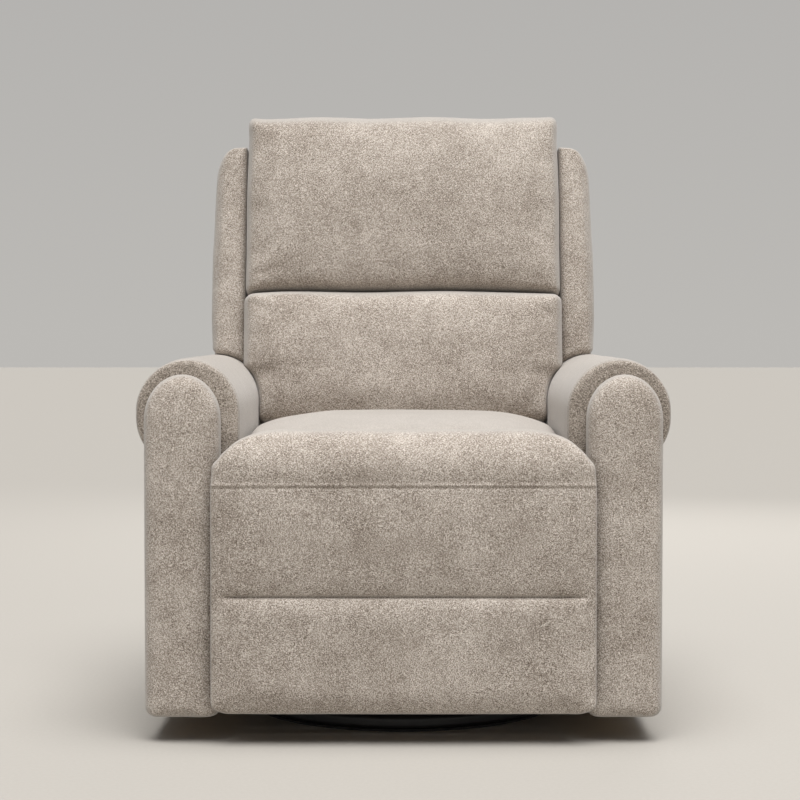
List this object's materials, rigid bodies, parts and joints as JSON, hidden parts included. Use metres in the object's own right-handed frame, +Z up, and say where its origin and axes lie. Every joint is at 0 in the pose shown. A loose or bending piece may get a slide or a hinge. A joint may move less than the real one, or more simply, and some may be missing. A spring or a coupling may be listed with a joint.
{
  "type": "glider armchair",
  "caption": "Upholstered swivel glider armchair with rolled arms, a winged two-cushion reclining back and a footrest on a link mechanism over a round floor ring.",
  "frame": {"origin": "on the floor, at the swivel axis", "axes": "+Z up along the swivel axis, +X to the right as seen from the front, the chair faces -Y"},
  "size_m": [0.853, 0.8169, 1.0664],
  "materials": {
    "upholstery": "brushed chenille weave, soft sheen",
    "frame_wood": "raw plywood and pine",
    "black_steel": "black powder coat",
    "plated_steel": "zinc plated",
    "black_plastic": "fine grain",
    "pad_rubber": "matte",
    "webbing": "woven elastic webbing"
  },
  "bodies": {
    "base": {"floor_pad": "pad_rubber", "base_ring": "black_steel", "base_spider": "black_steel", "lower_race": "plated_steel", "bearing_balls": "plated_steel", "kingpin": "plated_steel"},
    "swivel": {"upper_race": "plated_steel", "turn_plate": "black_steel", "glider_beams": "black_steel", "glider_towers": "black_steel", "glide_top_pins": "plated_steel"},
    "front_links": {"glide_links_front": "plated_steel"},
    "rear_links": {"glide_links_rear": "plated_steel"},
    "seat": {"carriage_plates": "black_steel", "glide_bottom_pins": "plated_steel", "cross_tubes": "black_steel", "side_plates": "black_steel", "link_pivot_pins": "plated_steel", "recline_bolts": "plated_steel", "arm_spacers": "black_steel", "arm_bolts": "plated_steel", "body_rails": "frame_wood", "rear_apron": "upholstery", "seat_cross_rails": "frame_wood", "seat_side_rails": "frame_wood", "seat_springs": "plated_steel", "spring_clips": "black_plastic", "seat_cushion": "upholstery", "arm_frame_left": "frame_wood", "arm_frame_right": "frame_wood", "arm_pad_left": "upholstery", "arm_pad_right": "upholstery", "arm_facings": "upholstery", "post_boards": "frame_wood", "post_screws": "plated_steel", "arm_post_left": "upholstery", "arm_post_right": "upholstery", "handle_cup": "black_plastic"},
    "handle": {"release_handle": "black_plastic"},
    "trip": {"trip_lever": "plated_steel"},
    "back": {"back_posts": "frame_wood", "back_rails": "frame_wood", "back_brackets": "plated_steel", "back_webbing": "webbing", "wing_boards": "frame_wood", "lumbar_cushion": "upholstery", "head_cushion": "upholstery", "wing_left": "upholstery", "wing_right": "upholstery", "back_panel": "upholstery"},
    "footrest": {"footrest_board": "frame_wood", "footrest_brackets": "plated_steel", "board_screws": "plated_steel", "footrest_pad": "upholstery"},
    "link_a": {"drive_tube": "black_steel", "main_links": "plated_steel"},
    "link_b": {"stay_links": "plated_steel"},
    "link_c": {"lower_arms": "plated_steel"},
    "link_d": {"upper_arms": "plated_steel"}
  },
  "joints": [
    {"name": "swivel", "type": "hinge", "parent": "base", "child": "swivel", "pos_m": [0, 0, 0], "axis": [0, 0, 1], "continuous": true},
    {"name": "glide", "type": "hinge", "parent": "swivel", "child": "front_links", "pos_m": [0, -0.11, 0.215], "axis": [1, 0, 0], "range_deg": [-24, 24]},
    {"name": "seat_level", "type": "hinge", "parent": "front_links", "child": "seat", "pos_m": [0, -0.11, 0.105], "axis": [1, 0, 0], "range_deg": [-24, 24]},
    {"name": "rear_glide", "type": "hinge", "parent": "swivel", "child": "rear_links", "pos_m": [0, 0.11, 0.215], "axis": [1, 0, 0], "range_deg": [-24, 24]},
    {"name": "footrest", "type": "hinge", "parent": "seat", "child": "footrest", "pos_m": [0, -0.375, 0.487], "axis": [-1, 0, 0], "range_deg": [0, 90]},
    {"name": "main_link", "type": "hinge", "parent": "seat", "child": "link_a", "pos_m": [0, -0.13, 0.36], "axis": [-1, 0, 0], "range_deg": [0, 90]},
    {"name": "stay_link", "type": "hinge", "parent": "seat", "child": "link_b", "pos_m": [0, -0.201, 0.397], "axis": [-1, 0, 0], "range_deg": [0, 90]},
    {"name": "lower_arm", "type": "hinge", "parent": "link_a", "child": "link_c", "pos_m": [0, -0.017, 0.123], "axis": [-1, 0, 0], "range_deg": [-90, 0]},
    {"name": "upper_arm", "type": "hinge", "parent": "link_a", "child": "link_d", "pos_m": [0, -0.017, 0.213], "axis": [-1, 0, 0], "range_deg": [-90, 0]},
    {"name": "recline", "type": "hinge", "parent": "seat", "child": "back", "pos_m": [0, 0.25, 0.37], "axis": [-1, 0, 0], "range_deg": [0, 38]},
    {"name": "release", "type": "hinge", "parent": "seat", "child": "handle", "pos_m": [-0.396, -0.102, 0.3], "axis": [0, 0, 1], "range_deg": [0, 35], "stiffness_Nm_per_rad": 0.4, "springref_deg": -8.59},
    {"name": "trip", "type": "hinge", "parent": "seat", "child": "trip", "pos_m": [0, 0.022, 0.236], "axis": [-1, 0, 0], "range_deg": [-14, 0]}
  ],
  "couplings": [
    {"joint": "seat_level", "follows": "glide", "ratio": -1},
    {"joint": "rear_glide", "follows": "glide", "ratio": 1},
    {"joint": "main_link", "follows": "footrest", "ratio": 1},
    {"joint": "stay_link", "follows": "footrest", "ratio": 1},
    {"joint": "lower_arm", "follows": "footrest", "ratio": -1},
    {"joint": "upper_arm", "follows": "footrest", "ratio": -1},
    {"joint": "trip", "follows": "release", "ratio": -0.4}
  ]
}
